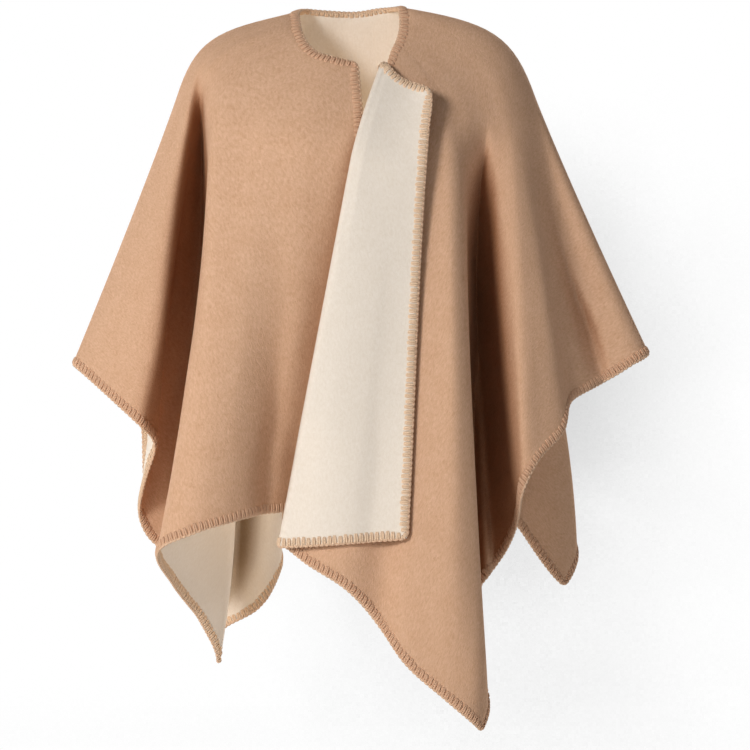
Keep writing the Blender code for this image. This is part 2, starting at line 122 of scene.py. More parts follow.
# Hem: name, place u and v on the flat cut, degrees on the yoke, x, y and z, then bulge in x and y.
HEM = (
    ("right slit hem", 0, -680, 0, 26, -92, -661, 0, 0),
    ("right front flat", -110, -680, 13, -68, -104, -665, 0, 0),
    ("right soft valley", -180, -680, 27, -117, -160, -668, 0, 2),
    ("right front ridge", -255, -680, 48, -162, -188, -678, 0, -14),
    ("right front turn", -305, -680, 59, -211, -196, -693, 2, -14),
    ("right front edge fold", -355, -680, 67, -250, -168, -715, 8, -10),
    ("right return", -440, -680, 69, -238, -92, -759, 16, 8),
    ("right return low", -545, -680, 70.5, -207, -25, -812, 28, 34),
    ("right front corner", -680, -680, 72, -181, 14, -880, 30, 44),
    ("right valley back", -680, -600, 73.3, -198, 42, -822, 24, 46),
    ("right under fold", -680, -500, 74.8, -238, 58, -747, 14, 44),
    ("right under edge", -680, -425, 76.5, -269, 54, -723, 4, 36),
    ("right side out", -680, -370, 78.2, -292, 38, -677, -4, 26),
    ("right side in", -680, -300, 79.8, -277, -22, -621, 0, 0),
    ("right side turn", -680, -235, 81.5, -263, -60, -579, 0, -8),
    ("right arm edge", -680, -150, 83.5, -295, -62, -542, 0, -10),
    ("right arm low", -680, -70, 85.8, -340, -38, -503, 0, -8),
    ("right arm near", -680, -22, 88, -370, -16, -478, 0, -2),
    ("right arm tip", -680, 0, 90, -379, 2, -472, 0, 0),
    ("right arm near back", -680, 24, 92, -373, 20, -480, 0, 2),
    ("right arm behind", -680, 80, 97, -341, 58, -505, 0, 10),
    ("right back cascade", -680, 190, 102, -294, 118, -558, 0, 14),
    ("right back edge", -680, 310, 107, -292, 124, -634, 0, 6),
    ("right back low", -680, 500, 113, -239, 120, -769, 0, 2),
    ("right back corner", -680, 680, 122, -195, 128, -852, 0, 0),
    ("right back ridge", -560, 680, 130, -129, 150, -812, 6, 8),
    ("right back fold", -480, 680, 136, -104, 202, -763, 8, 4),
    ("right back fold behind", -400, 680, 142, -118, 256, -715, 0, 6),
    ("right back crest", -320, 680, 148, -85, 288, -676, 0, 10),
    ("right back flank", -230, 680, 157, -50, 214, -645, 0, 0),
    ("right back valley", -150, 680, 166, -29, 150, -628, 0, -12),
    ("middle back ridge", -10, 680, 180, 23, 232, -624, 0, 14),
    ("middle back left", 120, 680, 193, 69, 264, -631, 0, 16),
    ("left back valley", 260, 680, 206, 108, 168, -644, 0, -10),
    ("left back rise", 400, 680, 219, 167, 228, -670, 0, 10),
    ("left back ridge", 520, 680, 230, 263, 246, -682, 8, 12),
    ("left back fold", 615, 680, 240, 313, 160, -734, 24, 6),
    ("left back corner", 680, 680, 244.5, 294, 114, -783, 14, 4),
    ("left back edge", 680, 560, 247.5, 226, 82, -694, 0, 2),
    ("left back in", 680, 450, 250.5, 209, 52, -650, -4, 0),
    ("left cascade", 680, 340, 253.5, 254, 58, -557, 0, -6),
    ("left arm behind", 680, 190, 258, 337, 74, -491, 0, -4),
    ("left arm near back", 680, 88, 262.5, 394, 26, -467, 0, 2),
    ("left arm tip", 680, 60, 265, 401, 2, -458, 0, 0),
    ("left arm near", 680, 36, 267, 390, -14, -464, 0, -2),
    ("left arm low", 680, -20, 270.5, 338, -16, -497, 0, 12),
    ("left arm edge", 680, -85, 274.5, 286, -58, -526, 0, -6),
    ("left side out", 680, -130, 277, 282, -80, -556, 0, -12),
    ("left side low", 680, -200, 279.5, 244, -104, -597, 0, -14),
    ("left second ridge", 680, -270, 282, 222, -94, -644, 0, -10),
    ("left side in", 680, -330, 286, 218, -62, -686, -8, 6),
    ("left valley edge", 680, -400, 290, 198, -20, -736, -12, 46),
    ("left valley", 680, -460, 293, 169, -2, -772, -6, 62),
    ("left valley return", 680, -545, 298, 151, -54, -826, -6, 50),
    ("left front low", 680, -620, 301.5, 170, -112, -894, -2, 14),
    ("left front tuck", 680, -655, 303, 177, -136, -921, -2, 4),
    ("left front corner", 680, -680, 304, 167, -166, -945, -2, 0),
    ("left front ridge", 590, -680, 309, 126, -198, -906, 2, -14),
    ("left front soft", 480, -680, 317, 68, -190, -856, 0, -4),
    ("left front soft valley", 390, -680, 325, 33, -168, -806, 0, 0),
    ("left front swell", 290, -680, 334, -10, -182, -759, 0, -4),
    ("left front inner", 215, -680, 341, -55, -178, -733, 0, -4),
    ("fold foot", 157, -680, 347, -84, -166, -711, 0, 0),
)

# Folds pressed in: name, side (-1 front, 1 back), z, x, spread to the right and left of the
# wearer, and depth towards the back (below 0 is towards the front).
PRESSED = (
    ("right armhole", -1, -80, -204, 9, 7, 0),
    ("right armhole", -1, -109, -203, 10, 7, 16),
    ("right armhole", -1, -150, -203, 11, 8, 36),
    ("right armhole", -1, -190, -204, 14, 9, 50),
    ("right armhole", -1, -270, -207, 20, 12, 58),
    ("right armhole", -1, -340, -211, 22, 14, 58),
    ("right armhole", -1, -431, -222, 20, 15, 54),
    ("right armhole", -1, -536, -250, 18, 11, 48),
    ("right armhole", -1, -588, -262, 16, 10, 36),
    ("right armhole", -1, -641, -272, 14, 10, 20),
    ("right armhole", -1, -690, -276, 14, 10, 0),
    ("right breast", -1, -420, -100, 16, 14, 0),
    ("right breast", -1, -536, -99, 16, 13, 7),
    ("right breast", -1, -588, -109, 14, 14, 11),
    ("right breast", -1, -641, -114, 13, 14, 14),
    ("right breast", -1, -690, -117, 12, 14, 11),
    ("right front flank", -1, -240, -100, 40, 25, 0),
    ("right front flank", -1, -330, -100, 46, 25, 6),
    ("right front flank", -1, -431, -98, 50, 25, 12),
    ("right front flank", -1, -536, -102, 50, 34, 19),
    ("right front flank", -1, -600, -106, 50, 60, 22),
    ("right front flank", -1, -700, -112, 50, 70, 22),
    ("left armhole", -1, -160, 176, 18, 8, 0),
    ("left armhole", -1, -191, 174, 17, 7, 9),
    ("left armhole", -1, -231, 170, 15, 7, 17),
    ("left armhole", -1, -324, 166, 13, 7, 18),
    ("left armhole", -1, -377, 165, 13, 7, 16),
    ("left armhole", -1, -483, 167, 13, 7, 10),
    ("left armhole", -1, -560, 172, 13, 9, 0),
    ("left breast ridge", -1, -160, 126, 16, 14, 0),
    ("left breast ridge", -1, -240, 139, 20, 9, -8),
    ("left breast ridge", -1, -326, 147, 22, 8, -15),
    ("left breast ridge", -1, -431, 161, 28, 7, -32),
    ("left breast ridge", -1, -536, 168, 30, 7, -42),
    ("left breast ridge", -1, -641, 173, 30, 7, -44),
    ("left breast ridge", -1, -746, 178, 30, 8, -42),
    ("left breast ridge", -1, -850, 176, 28, 9, -36),
    ("left breast ridge", -1, -930, 168, 22, 12, -12),
    ("left breast ridge", -1, -960, 164, 20, 14, 0),
    ("left arm front", -1, -190, 190, 9, 20, 0),
    ("left arm front", -1, -270, 193, 9, 20, -9),
    ("left arm front", -1, -326, 196, 9, 22, -14),
    ("left arm front", -1, -431, 203, 9, 22, -17),
    ("left arm front", -1, -536, 212, 10, 22, -19),
    ("left arm front", -1, -600, 216, 10, 22, -13),
    ("left arm front", -1, -660, 218, 10, 20, 0),
    ("left arm swell", -1, -240, 262, 24, 8, 0),
    ("left arm swell", -1, -340, 276, 28, 8, -6),
    ("left arm swell", -1, -431, 294, 30, 8, -9),
    ("left arm swell", -1, -520, 318, 24, 8, 0),
    ("left arm", -1, -190, 244, 12, 12, 0),
    ("left arm", -1, -247, 258, 12, 10, 6),
    ("left arm", -1, -321, 278, 13, 9, 12),
    ("left arm", -1, -375, 296, 13, 9, 17),
    ("left arm", -1, -429, 319, 13, 8, 22),
    ("left arm", -1, -483, 334, 13, 9, 15),
    ("left arm", -1, -520, 345, 14, 10, 4),
    ("right back pocket", 1, -380, -168, 20, 34, 0),
    ("right back pocket", 1, -500, -172, 18, 32, 24),
    ("right back pocket", 1, -640, -176, 16, 30, 58),
    ("right back pocket", 1, -740, -180, 16, 28, 58),
    ("right back pocket", 1, -800, -184, 16, 24, 30),
    ("right back pocket", 1, -870, -190, 16, 20, 0),
    ("right back flank", 1, -300, -150, 34, 60, 0),
    ("right back flank", 1, -450, -155, 30, 62, 24),
    ("right back flank", 1, -640, -160, 26, 62, 56),
    ("right back flank", 1, -760, -164, 24, 56, 48),
    ("right back flank", 1, -860, -176, 22, 34, 0),
)
PRESS_DEPTH = (60.0, 110.0)     # front folds end at this y, and the length they fade over
PRESS_SIDE = 0.05               # how far past the shoulder line a fold presses, as a cosine

# Free edge of the revers: name, share of the way down, then x and z.
REVERS_EDGE = (
    ("top corner", 0.0, 101, -120),
    ("below the corner", 0.025, 102, -134),
    ("upper edge", 0.084, 98, -167),
    ("hem corner", 1.0, 70, -698),
)

# One strand of a stitch, from where it enters the cloth to the edge: name, share of the bite, yarn
# radii beyond the edge, share of half the cloth, yarn radii above it, radii aside, thickness.
STITCH = (
    ("enters the cloth", 1.00, 0.0, 1.0, -0.80, 0.40, 0.50),
    ("comes up", 0.92, 0.0, 1.0, 0.10, 0.55, 0.75),
    ("leg", 0.70, 0.0, 1.0, 0.50, 0.78, 0.95),
    ("middle of the leg", 0.40, 0.0, 1.0, 0.62, 0.88, 1.00),
    ("foot", 0.12, 0.0, 1.0, 0.60, 0.92, 1.00),
    ("turns over", 0.0, 0.7, 0.6, 0.0, 0.95, 1.00),
    ("edge", 0.0, 1.0, 0.0, 0.0, 0.85, 0.90),
)
SHORT_LEG = 0.5                 # share of their length that inner legs have where the neck rolls in
SHORT_NECK = (0.33, 0.68)       # stretch of the neck, from the right slit corner, with short legs
CORNER_SHARE = 0.7              # how long a stitch near a corner may be over its distance from it
UNEVEN_PLACE = 0.15             # how unevenly the stitches are set, in millimetres
UNEVEN_BITE = (0.88, 1.08)      # their shortest and longest bite, over the even one
LEAN = (0.05, 0.035)            # how far the legs lean, and how much that varies
STRAIGHTEN = 0.8                # how much of the mesh's slant the legs don't follow
TIP_OUT = (2.0, 1.2)            # stretch beside the edge where a leg tips outwards, and how far
YARN_SIDES = 6
YARN_SQUASH = 0.8               # how flat the legs lie
PURL = (0.6, 1.05, 1.3, 1.3, 1.05, 0.6)     # yarn along the edge from stitch to stitch: thickness
PURL_OVERLAP = 0.12             # how far it runs past the stitches, over their spacing
PURL_OUT = (0.8, 0.4)           # yarn radii that it lies out from the edge, and those added midway
PURL_SLANT = 0.5                # yarn radii that it crosses from the outer face towards the inner

# ---------------------------------------------------------------- light and looks, in metres and watts
WHITE = (1.0, 1.0, 1.0)
WARM = (1.0, 0.87, 0.70)
CAMERA_ASIDE = 0.030
# Name, kind, place, aimed at, size, power, colour.
LAMPS = (
    ("key", "AREA", (-2.12, -3.22, 0.72), (0.0, 0.0, -0.45), 1.1, 98, WHITE),
    ("fill", "AREA", (2.4, -3.2, 0.1), (0.0, 0.0, -0.5), 1.6, 12, WHITE),
    ("hem_light", "AREA", (-1.3, -1.6, -1.15), (-0.05, 0.15, -0.75), 0.6, 4, WARM),
    ("inside_glow", "POINT", (0.02, 0.0, -0.46), (0.0, 0.0, -1.0), 0.10, 1.05, WARM),
    ("back_key", "AREA", (1.6, 3.6, 0.9), (0.0, 0.0, -0.45), 1.6, 75, WHITE),
    ("back_fill", "AREA", (-2.2, 3.2, 0.2), (0.0, 0.0, -0.45), 2.0, 40, WHITE),
)
AIR_LIGHT = 0.07                # strength of the white air as light; seen directly it is 1
CAMEL_DARK, CREAM_DARK = "#CA9D7B", "#E9DCCC"   # low tone between the tufts of nap
# Painted fold shade: share of red, green and blue that is left deep in a fold.
CAMEL_PAINTED_FOLD_SHADE, CREAM_PAINTED_FOLD_SHADE = (0.52, 0.37, 0.26), (0.42, 0.32, 0.22)


# ---------------------------------------------------------------- settings
def length_setting(name, value, tip, low=0.0):
    return FloatProperty(name=name, description=tip, default=value, min=low,
                         subtype="DISTANCE", unit="LENGTH")


def colour_setting(name, code, tip):
    return FloatVectorProperty(name=name, description=tip, default=linear(code), size=3,
                               min=0, max=1, subtype="COLOR")


def linear(code):
    """Linear red, green and blue of an sRGB hex colour."""
    return tuple(c / 12.92 if c <= 0.04045 else ((c + 0.055) / 1.055) ** 2.4
                 for c in (int(code[i:i + 2], 16) / 255 for i in (1, 3, 5)))


class PonchoClothSettings(bpy.types.PropertyGroup):
    wall: length_setting("Thickness", 0.0028, "Thickness of the brushed double-faced cloth")
    columns: IntProperty(name="Fall lines", description="Lines of mesh down the cloth",
                         default=700, min=100)
    neck_rows: IntProperty(name="Yoke rows", description="Mesh rows from the neck to the yoke",
                           default=16, min=4)
    hang_rows: IntProperty(name="Fall rows", description="Mesh rows from the yoke to the hem",
                           default=46, min=8)
    outer: colour_setting("Outer face", "#E0B798", "Camel face of the cloth")
    inner: colour_setting("Inner face", "#F2E7DA", "Cream face of the cloth")


class PonchoStitchSettings(bpy.types.PropertyGroup):
    spacing: length_setting("Spacing", 0.00684, "From one blanket stitch to the next", 0.002)
    bite: length_setting("Bite", 0.0098, "How far in from the edge each stitch reaches", 0.002)
    yarn: length_setting("Yarn", 0.0030, "Diameter of the wool yarn", 0.0005)
    colour: colour_setting("Yarn colour", "#DDB292", "Camel wool yarn")
    # painted bounce light: the same yarn drawn paler where it lies over the cream face
    pale: colour_setting("Yarn over cream", "#EDCEAF", "The yarn where cream fibres cling to it")


class PonchoStageSettings(bpy.types.PropertyGroup):
    distance: length_setting("Camera distance", 3.5, "From the camera to the shoulders' plane", 0.5)
    height: FloatProperty(name="Camera height", default=-0.490, subtype="DISTANCE", unit="LENGTH",
                          description="Level of the camera over the neck points")
    span: length_setting("Width in view", 1.0125, "Width that the camera frames there", 0.2)
    floor: FloatProperty(name="Floor level", description="Level of the pale floor", default=-1.22,
                         subtype="DISTANCE", unit="LENGTH")


# ---------------------------------------------------------------- surface of the hanging cloth
def numbers(rows):
    return np.array([row[1:] for row in rows], float)


def unit(vectors):
    return vectors / np.maximum(np.linalg.norm(vectors, axis=-1, keepdims=True), 1e-12)


def spline(keys, values, at):
    """Cubic through the rows that never runs past a row's own value."""
    step = np.diff(keys)[:, None]
    slope = np.diff(values, axis=0) / step
    before, after = slope[:-1], slope[1:]
    same = before * after > 0
    safe = np.where(same, before, 1.0), np.where(same, after, 1.0)
    near, far = step[:-1], step[1:]
    mean = 3 * (near + far) / ((2 * far + near) / safe[0] + (far + 2 * near) / safe[1])
    tangent = np.vstack([slope[:1], np.where(same, mean, 0.0), slope[-1:]])
    i = np.clip(np.searchsorted(keys, at, side="right") - 1, 0, len(keys) - 2)
    h = step[i]
    t = ((at - keys[i]) / h[:, 0])[:, None]
    return ((2 * t**3 - 3 * t**2 + 1) * values[i] + (t**3 - 2 * t**2 + t) * h * tangent[i]
            + (3 * t**2 - 2 * t**3) * values[i + 1] + (t**3 - t**2) * h * tangent[i + 1])


def walk(points):
    """Distance along a line of points, from its first."""
    return np.concatenate([[0], np.cumsum(np.linalg.norm(np.diff(points, axis=0), axis=1))])


def neck_cut(angle):
    turn = np.radians(angle)
    return np.stack([-NECK_HALF_WIDTH * np.sin(turn),
                     NECK_CENTRE_V - NECK_HALF_LENGTH * np.cos(turn)], axis=-1)


def blend(values, spacing, width):
    """Soften a channel along the hem with a short bell-shaped window."""
    reach = max(1, int(round(2 * width / spacing)))
    window = np.exp(-0.5 * (np.arange(-reach, reach + 1) * spacing / width) ** 2)
    window /= window.sum()
    ends = (2 * values[:1] - values[reach:0:-1], values, 2 * values[-1:] - values[-2:-reach - 2:-1])
    padded = np.concatenate(ends)
    return np.stack([np.convolve(channel, window, "valid") for channel in padded.T], axis=1)


def fall_lines(stations):
    """Rim, yoke, hem, bulge and flat cut of the fall line at each station along the hem."""
    rim, yoke, hem = numbers(RIM), numbers(YOKE), numbers(HEM)
    cut, turn, foot, bulge = hem[:, :2], hem[:, 2:3], hem[:, 3:6], hem[:, 6:8]
    keys = walk(foot)
    yoke_at = lambda angle: spline(yoke[:, 0], yoke[:, 1:], angle)
    rows = yoke_at(turn[:, 0])
    flat_rim = neck_cut(rows[:, 0])
    flat_reach = np.linalg.norm(cut - flat_rim, axis=1)
    reach = np.linalg.norm(foot - rows[:, 1:], axis=1)
    channels = np.hstack([turn, unit(foot - rows[:, 1:]), (reach / flat_reach)[:, None], bulge])
    dense = np.linspace(keys[0], keys[-1], SOFTEN_STEPS)
    soft = blend(spline(keys, channels, dense), dense[1] - dense[0], FOLD_BLEND)
    soft = np.hstack([soft, blend(soft[:, 1:4], dense[1] - dense[0], YOKE_BLEND)])
    lines = np.stack([np.interp(stations, dense, channel) for channel in soft.T], axis=1)
    on_yoke = yoke_at(lines[:, 0])
    edge = np.stack([np.interp(stations, keys, cut[:, c]) for c in (0, 1)], axis=1)
    flat_top = neck_cut(on_yoke[:, 0])
    length = np.linalg.norm(edge - flat_top, axis=1) * lines[:, 4]
    return {"rim": spline(rim[:, 0], rim[:, 1:], on_yoke[:, 0]), "yoke": on_yoke[:, 1:],
            "turn": lines[:, :1], "down": unit(lines[:, 1:4]), "leave": unit(lines[:, 7:10]),
            "length": length[:, None],
            "bulge": np.stack([lines[:, 5], lines[:, 6], 0 * length], axis=1),
            "flat_top": flat_top, "flat_foot": edge}


def hang(lines, neck_rows, hang_rows):
    """Grid of points down every fall line: over the shoulder to the yoke, then to the hem."""
    start, yoke, leave, length = (lines[key] for key in ("rim", "yoke", "leave", "length"))
    reach = HANDLE[0] + HANDLE[1] * np.sin(np.radians(lines["turn"])) ** 2
    corner = yoke - leave * np.linalg.norm(yoke - start, axis=1)[:, None] * reach
    tension = TENSION[0] + TENSION[1] * np.sin(np.radians(lines["turn"])) ** 6
    a, b = start + (corner - start) * tension, yoke + (corner - yoke) * tension
    points = []
    for t in np.linspace(0, 1, neck_rows + 1)[:-1]:
        points.append((1 - t)**3 * start + 3 * (1 - t)**2 * t * a
                      + 3 * (1 - t) * t**2 * b + t**3 * yoke)
    crest = (EASE / (1 + EASE)) ** EASE / (1 + EASE)
    for t in np.linspace(0, 1, hang_rows + 1):
        fold = (lines["down"] - leave) * length + (1 - t) / crest * lines["bulge"]
        points.append(yoke + leave * length * t + fold * t**EASE)
    return np.stack(points, axis=1)


def press_folds(grid, turn):
    """Push the cloth back where a fold is pressed in and forward at a ridge."""
    moved = grid.copy()
    for name, side in dict.fromkeys(row[:2] for row in PRESSED):
        rows = np.array([row[2:] for row in PRESSED if row[0] == name], float)
        rows = rows[np.argsort(rows[:, 0])]
        z = np.clip(grid[:, :, 2].ravel(), rows[0, 0], rows[-1, 0])
        x, right, left, depth = spline(rows[:, 0], rows[:, 1:], z).T.reshape(4, *grid.shape[:2])
        off = grid[:, :, 0] - x
        bell = np.exp(-(off / np.where(off < 0, right, left)) ** 2)
        if side < 0:
            bell *= np.clip((PRESS_DEPTH[0] - grid[:, :, 1]) / PRESS_DEPTH[1], 0, 1)
        moved[:, :, 1] += (np.cos(np.radians(turn)) * side < PRESS_SIDE) * depth * bell
    return moved


def facing(grid):
    """Outward normals of a grid whose columns run from the right slit edge round the back."""
    normals = unit(np.cross(np.gradient(grid, axis=0), np.gradient(grid, axis=1)))
    normals[:, 0] = normals[:, 1]
    return normals


def revers(grid, neck_rows, roll_columns, flap_columns):
    """Columns that roll forward round the fold line and lie back over the left front."""
    fold = grid[-1]
    along = unit(np.gradient(fold, axis=0))
    side = (grid[-1] - grid[-3])[neck_rows:].mean(axis=0)
    side = unit(side - (along @ side)[:, None] * along)
    front = np.cross(side, along)
    front *= -np.sign(front[:, 1:2])
    wide, tall = grid.shape[:2]
    faces = [(c * tall + r, (c + 1) * tall + r, (c + 1) * tall + r + 1, c * tall + r + 1)
             for c in range(wide // 2, wide - 1) for r in range(tall - 1)]
    panel = BVHTree.FromPolygons([Vector(p) for p in grid.reshape(-1, 3)], faces)

    def clear_of_panel(places):
        """How far forward each x, z must be to clear the left front behind it by the roll."""
        depths = []
        for x, z in places:
            hit, slope = panel.ray_cast(Vector((x, SIGHT_FROM, z)), Vector((0, 1, 0)))[:2]
            if hit is None:
                hit, slope = panel.find_nearest(Vector((x, NEAR_PANEL, z)))[:2]
            depths.append(hit.y - 2 * ROLL_RADIUS / max(abs(slope.y), FLATTEST))
        return np.array(depths)

    inner = fold + 2 * ROLL_RADIUS * front
    inner[:, 1] = np.minimum(inner[:, 1], clear_of_panel(inner[:, (0, 2)]))
    columns = [fold + (inner - fold) * (1 - math.cos(turn)) / 2 + side * ROLL_RADIUS * math.sin(turn)
               for turn in np.linspace(0, math.pi, roll_columns + 1)[1:]]
    down = walk(fold)
    edge = numbers(REVERS_EDGE)
    free = spline(edge[:, 0], edge[:, 1:], down / down[-1])
    settled = REVERS_SETTLE[0] * (1 - np.exp(-down / REVERS_SETTLE[1]))
    stand = REVERS_STAND[0] * np.exp(-down / REVERS_STAND[1])
    edge_y = clear_of_panel(free) - REVERS_LIFT - stand + settled
    for across in np.linspace(0, 1, flap_columns + 1)[1:]:
        places = (1 - across) * inner[:, (0, 2)] + across * free
        places[:, 1] -= REVERS_SAG * across * (1 - across) ** 2 * np.exp(-down / SAG_FADE)
        flat = (1 - across) * inner[:, 1] + across * edge_y
        clear = clear_of_panel(places) + settled * across
        touch = REVERS_TOUCH[0] * np.exp(-np.abs(flat - clear) / REVERS_TOUCH[1])
        lap = np.minimum(flat, clear) - touch
        columns.append(np.stack([places[:, 0], lap, places[:, 1]], axis=1))
    return np.stack(columns)


def stations(hem, count):
    """Fall lines spread evenly along the hem, with one exactly at every corner and arm tip."""
    keys = walk(numbers(hem)[:, 3:6])
    names = [row[0] for row in hem]
    stops = [keys[i] for i, name in enumerate(names) if i in (0, len(hem) - 1)
             or "corner" in name or "tip" in name]
    marks = [stops[0]]
    for first, last in zip(stops, stops[1:]):
        share = max(2, round(count * (last - first) / keys[-1]))
        marks.extend(np.linspace(first, last, share + 1)[1:])
    return np.array(marks)


def cut_places(lines, body, flap, neck_rows):
    """Where each point of the hanging cloth lies in the flat square, in millimetres."""
    top, foot = lines["flat_top"], lines["flat_foot"]
    places = []
    for column, a, b in zip(body, top, foot):
        share = walk(column)
        places.append(a + (b - a) * (share / share[-1])[:, None])
    places = np.array(places)
    fold = places[-1]
    steps = np.diff(np.concatenate([body[-1:], flap]), axis=0)
    across = np.cumsum(np.linalg.norm(steps, axis=2), axis=0)
    edge = np.stack([0 * fold[:, 0], fold[:, 1]], axis=1)
    wrapped = fold + (edge - fold) * (across / across[-1])[:, :, None]
    return np.concatenate([places, wrapped])


def poncho_surface(settings):
    """Mid-surface grid of the whole cloth in millimetres, its outward normals and its flat cut."""
    lines = fall_lines(stations(HEM, settings.columns))
    body = hang(lines, settings.neck_rows, settings.hang_rows)
    body = press_folds(body, lines["turn"])
    flap = revers(body, settings.neck_rows, ROLL_COLUMNS, FLAP_COLUMNS)
    grid = np.concatenate([body, flap])
    return grid, facing(grid), cut_places(lines, body, flap, settings.neck_rows)


# ---------------------------------------------------------------- mesh helpers
def new_object(name, points, faces, materials, smooth=True, indices=None, uv=None):
    mesh = bpy.data.meshes.new(name)
    mesh.from_pydata([tuple(p) for p in points], [], [tuple(f) for f in faces])
    for material in materials:
        mesh.materials.append(material)
    if indices is not None:
        mesh.polygons.foreach_set("material_index", np.asarray(indices, np.int32))
    mesh.polygons.foreach_set("use_smooth", np.full(len(mesh.polygons), smooth))
    if uv is not None:
        corner = np.zeros(len(mesh.loops), np.int32)
        mesh.loops.foreach_get("vertex_index", corner)
        layer = mesh.uv_layers.new(name="flat_cut")
        layer.data.foreach_set("uv", np.asarray(uv, np.float32)[corner].ravel())
    mesh.update()
    made = bpy.data.objects.new(name, mesh)
    bpy.context.scene.collection.objects.link(made)
    return made


def cloth_shell(grid, normals, wall):
    """Closed wall on a grid, with rounded edges: points, faces, each face's side and the rim."""
    wide, tall = grid.shape[:2]
    outer = (grid + normals * wall / 2).reshape(-1, 3)
    inner = (grid - normals * wall / 2).reshape(-1, 3)
    ring = ([(c, 0) for c in range(wide)] + [(wide - 1, r) for r in range(1, tall)]
            + [(c, tall - 1) for c in range(wide - 2, -1, -1)]
            + [(0, r) for r in range(tall - 2, 0, -1)])
    bulge = [grid[c, r] + outward_edge(grid, c, r) * wall * EDGE_BULGE for c, r in ring]
    points = np.concatenate([outer, inner, bulge])
    at = lambda c, r: c * tall + r
    n = wide * tall
    faces, sides = [], []
    for c in range(wide - 1):
        for r in range(tall - 1):
            faces.append((at(c, r), at(c, r + 1), at(c + 1, r + 1), at(c + 1, r)))
            faces.append((n + at(c, r), n + at(c + 1, r), n + at(c + 1, r + 1), n + at(c, r + 1)))
            sides += [0, 1]
    rim = [at(c, r) for c, r in ring]
    for k, here in enumerate(rim):
        j = (k + 1) % len(rim)
        faces.append((here, rim[j], 2 * n + j, 2 * n + k))
        faces.append((2 * n + k, 2 * n + j, n + rim[j], n + here))
        sides += [0, 1]
    return points, faces, sides, rim


def outward_edge(grid, c, r):
    """Direction away from the cloth, in its own plane, at a point on the grid's border."""
    wide, tall = grid.shape[:2]
    out = np.zeros(3)
    if c in (0, wide - 1):
        out += unit(grid[c, r] - grid[1 if c == 0 else wide - 2, r])
    if r in (0, tall - 1):
        out += unit(grid[c, r] - grid[c, 1 if r == 0 else tall - 2])
    return unit(out)


# ---------------------------------------------------------------- materials
def add_node(tree, kind, settings=(), inputs=()):
    """Adds a node, sets its properties, and gives each input a value or links a socket to it."""
    node = tree.nodes.new(kind)
    for key, value in dict(settings).items():
        setattr(node, key, value)
    for key, value in dict(inputs).items():
        if isinstance(value, bpy.types.NodeSocket):
            tree.links.new(value, node.inputs[key])
        else:
            node.inputs[key].default_value = value
    return node


def mixed(tree, mode, share, a, b):
    """Socket of two colours mixed; the colour inputs of Blender's node are numbers 6 and 7."""
    return add_node(tree, "ShaderNodeMix", {"data_type": "RGBA", "blend_type": mode},
                    {0: share, 6: a, 7: b}).outputs[2]


def math_node(tree, mode, *values):
    return add_node(tree, "ShaderNodeMath", {"operation": mode}, enumerate(values)).outputs["Value"]


def noise(tree, place, **inputs):
    return add_node(tree, "ShaderNodeTexNoise", {}, {"Vector": place, **inputs}).outputs["Fac"]


def new_material(name):
    material = bpy.data.materials.new(name)
    material.use_nodes = True
    tree = material.node_tree
    return material, tree, tree.nodes["Principled BSDF"]


def brushed_wool(name, colour, dark, deep, sheen, depth):
    """Woven wool raised into a nap and brushed: matt, with soft streaks and tufts and a pale bloom, and
    painted shade in its folds.
    """
    material, tree, shader = new_material(name)
    cut = add_node(tree, "ShaderNodeUVMap", {"uv_map": "flat_cut"}).outputs["UV"]
    streaks = add_node(tree, "ShaderNodeMapping", {},
                       {"Vector": cut, "Scale": (1.0, 0.45, 1.0)}).outputs["Vector"]
    # tufts of nap about 2.5 mm across, drawn out along the brushing
    tufts = noise(tree, streaks, Scale=400.0, Detail=3.0, Roughness=0.66, Distortion=0.6)
    # matting of the nap, in patches of about 26 mm with smaller ones in them
    patches = noise(tree, cut, Scale=38.0, Detail=3.0, Roughness=0.55)
    # single fibres, drawn 0.7 mm across, far coarser than real wool so that they show
    fibres = noise(tree, streaks, Scale=1500.0, Detail=2.0, Roughness=0.7)
    matted = math_node(tree, "MULTIPLY_ADD", patches, 0.25, tufts)
    nap = math_node(tree, "MULTIPLY_ADD", fibres, 0.35, matted)
    tone = add_node(tree, "ShaderNodeValToRGB", {}, {"Fac": nap})
    low, high = tone.color_ramp.elements
    low.position, low.color = 0.55, (*dark, 1)
    high.position, high.color = 1.0, (*colour, 1)
    # painted shade: deep in a fold an AO node darkens the wool's colour towards its deep colour, so the
    # wool is darker there
    ao_for_painted_shade = add_node(tree, "ShaderNodeAmbientOcclusion", {"samples": 8, "only_local": True},
                      {"Distance": 0.10})
    openness = add_node(tree, "ShaderNodeMapRange", {},
                        {"Value": ao_for_painted_shade.outputs["AO"], "From Min": 0.25, "From Max": 0.75})
    shade = mixed(tree, "MIX", openness.outputs["Result"], (*deep, 1), (1, 1, 1, 1))
    wool = mixed(tree, "MULTIPLY", 1.0, tone.outputs["Color"], shade)
    tree.links.new(wool, shader.inputs["Base Color"])
    bump = add_node(tree, "ShaderNodeBump", {}, {"Height": nap, "Strength": depth, "Distance": 0.0009})
    tree.links.new(bump.outputs["Normal"], shader.inputs["Normal"])
    shader.inputs["Roughness"].default_value = 0.95
    shader.inputs["IOR"].default_value = 1.5
    shader.inputs["Specular IOR Level"].default_value = 0.15
    shader.inputs["Sheen Weight"].default_value = sheen
    shader.inputs["Sheen Roughness"].default_value = 0.5
    shader.inputs["Sheen Tint"].default_value = (*colour, 1)
    return material


